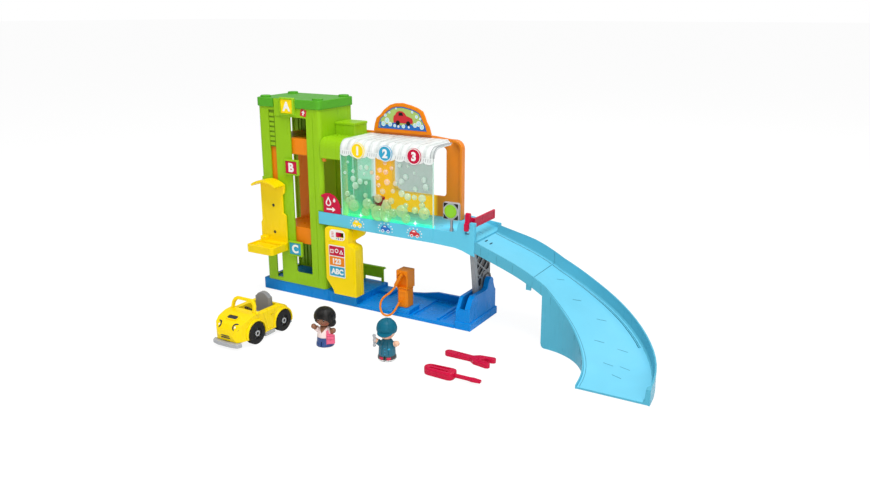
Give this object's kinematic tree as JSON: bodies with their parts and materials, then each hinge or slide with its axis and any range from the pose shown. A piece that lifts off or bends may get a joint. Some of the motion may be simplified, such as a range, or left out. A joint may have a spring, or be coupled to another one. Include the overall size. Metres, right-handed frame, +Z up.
{
  "type": "toy car wash playset",
  "caption": "Toy car wash with a sliding lift tower, a raised wash tunnel with a gate, a curved ramp, a car, figures and tools.",
  "frame": {"origin": "centre of the base tray's underside, on the surface the set stands on", "axes": "+X from the lift tower towards the ramp, +Y to the back of the set, +Z up"},
  "size_m": [0.7258, 0.3353, 0.3436],
  "materials": {
    "blue": "satin moulded",
    "lime": "satin moulded",
    "dark_green": "satin moulded",
    "orange": "satin moulded",
    "yellow": "satin moulded",
    "sky": "satin moulded",
    "crimson": "satin moulded",
    "deep_blue": "printed label",
    "grey": "matte moulded",
    "black": "matte moulded",
    "steel": "plain steel",
    "clear": "clear plastic with moulded bubbles",
    "frosted": "frosted plastic",
    "glow": "light guide that glows",
    "white": "printed label",
    "navy": "moulded and painted",
    "teal": "moulded and painted",
    "skin_brown": "moulded and painted",
    "skin_light": "moulded and painted"
  },
  "bodies": {
    "playset": {"awning": "frosted", "badge_1": "yellow", "badge_2": "deep_blue", "badge_3": "crimson", "base_tray": "blue", "battery_1": "black", "battery_2": "black", "battery_door": "yellow", "clear_cover": "clear", "console_front": "yellow", "console_label": "white", "console_rear": "yellow", "deck": "sky", "detent_rack": "lime", "entry_sign": "crimson", "fence": "lime", "gate_pin": "steel", "leg_housing": "blue", "leg_hub": "black", "level_plate_a": "yellow", "level_plate_b": "crimson", "level_plate_c": "deep_blue", "light_bar": "glow", "lower_ramp": "sky", "pump_body": "orange", "pump_hose": "orange", "sign_board": "orange", "signal_post": "grey", "speaker": "black", "support_leg": "grey", "tower_cap": "dark_green", "tower_front": "lime", "tower_rear": "lime", "tunnel_sleeve": "lime", "upper_ramp": "sky", "wash_frame": "orange"},
    "lift": {"lift_cabin": "orange", "lift_platform": "yellow", "lift_screw_low": "steel", "lift_screw_high": "steel"},
    "gate": {"gate_arm": "crimson"},
    "signal": {"signal_head": "grey", "signal_disc": "lime"},
    "roller_left": {"wash_roller_1": "crimson"},
    "roller_right": {"wash_roller_2": "crimson"},
    "power_switch": {"power_slider": "crimson"},
    "nozzle": {"pump_nozzle": "orange"},
    "car": {"car_body": "yellow", "car_base": "grey", "car_seat": "grey"},
    "front_wheels": {"car_wheels_front": "black"},
    "rear_wheels": {"car_wheels_rear": "black"},
    "visitor": {"visitor_body": "navy", "visitor_head": "skin_brown", "visitor_hair": "black"},
    "mechanic": {"mechanic_body": "teal", "mechanic_head": "skin_light", "mechanic_cap": "teal"},
    "wrench": {"toy_wrench": "crimson"},
    "screwdriver": {"toy_screwdriver": "crimson"}
  },
  "joints": [
    {"name": "lift_travel", "type": "slide", "parent": "playset", "child": "lift", "axis": [0, 0, 1], "range_m": [-0.07, 0.0355]},
    {"name": "gate_swing", "type": "hinge", "parent": "playset", "child": "gate", "pos_m": [0.2034, -0.0485, 0.17], "axis": [1, 0, 0], "range_deg": [0, 70]},
    {"name": "signal_turn", "type": "hinge", "parent": "playset", "child": "signal", "pos_m": [0.175, -0.0485, 0.18], "axis": [0, 0, 1], "range_deg": [0, 180]},
    {"name": "roller_left_spin", "type": "hinge", "parent": "playset", "child": "roller_left", "pos_m": [-0.036, 0.024, 0.178], "axis": [0, 0, 1], "continuous": true},
    {"name": "roller_right_spin", "type": "hinge", "parent": "playset", "child": "roller_right", "pos_m": [-0.008, 0.024, 0.166], "axis": [0, 0, 1], "continuous": true},
    {"name": "power_slide", "type": "slide", "parent": "playset", "child": "power_switch", "axis": [1, 0, 0], "range_m": [0, 0.0084]},
    {"name": "nozzle_pull", "type": "slide", "parent": "playset", "child": "nozzle", "axis": [0, -1, 0], "range_m": [0, 0.02]},
    {"name": "car_roll", "type": "slide", "parent": "playset", "child": "car", "axis": [0, -1, 0], "range_m": [0, 0.08]},
    {"name": "front_wheels_spin", "type": "hinge", "parent": "car", "child": "front_wheels", "pos_m": [-0.075, -0.247, 0.017], "axis": [1, 0, 0], "range_deg": [0, 280]},
    {"name": "rear_wheels_spin", "type": "hinge", "parent": "car", "child": "rear_wheels", "pos_m": [-0.075, -0.187, 0.017], "axis": [1, 0, 0], "range_deg": [0, 280]},
    {"name": "visitor_lift", "type": "slide", "parent": "playset", "child": "visitor", "axis": [0, 0, 1], "range_m": [0, 0.03]},
    {"name": "mechanic_lift", "type": "slide", "parent": "playset", "child": "mechanic", "axis": [0, 0, 1], "range_m": [0, 0.03]},
    {"name": "wrench_lift", "type": "slide", "parent": "playset", "child": "wrench", "axis": [0, 0, 1], "range_m": [0, 0.03]},
    {"name": "screwdriver_lift", "type": "slide", "parent": "playset", "child": "screwdriver", "axis": [0, 0, 1], "range_m": [0, 0.03]}
  ],
  "couplings": [
    {"joint": "front_wheels_spin", "follows": "car_roll", "rad_per_m": 58.824},
    {"joint": "rear_wheels_spin", "follows": "car_roll", "rad_per_m": 58.824}
  ]
}
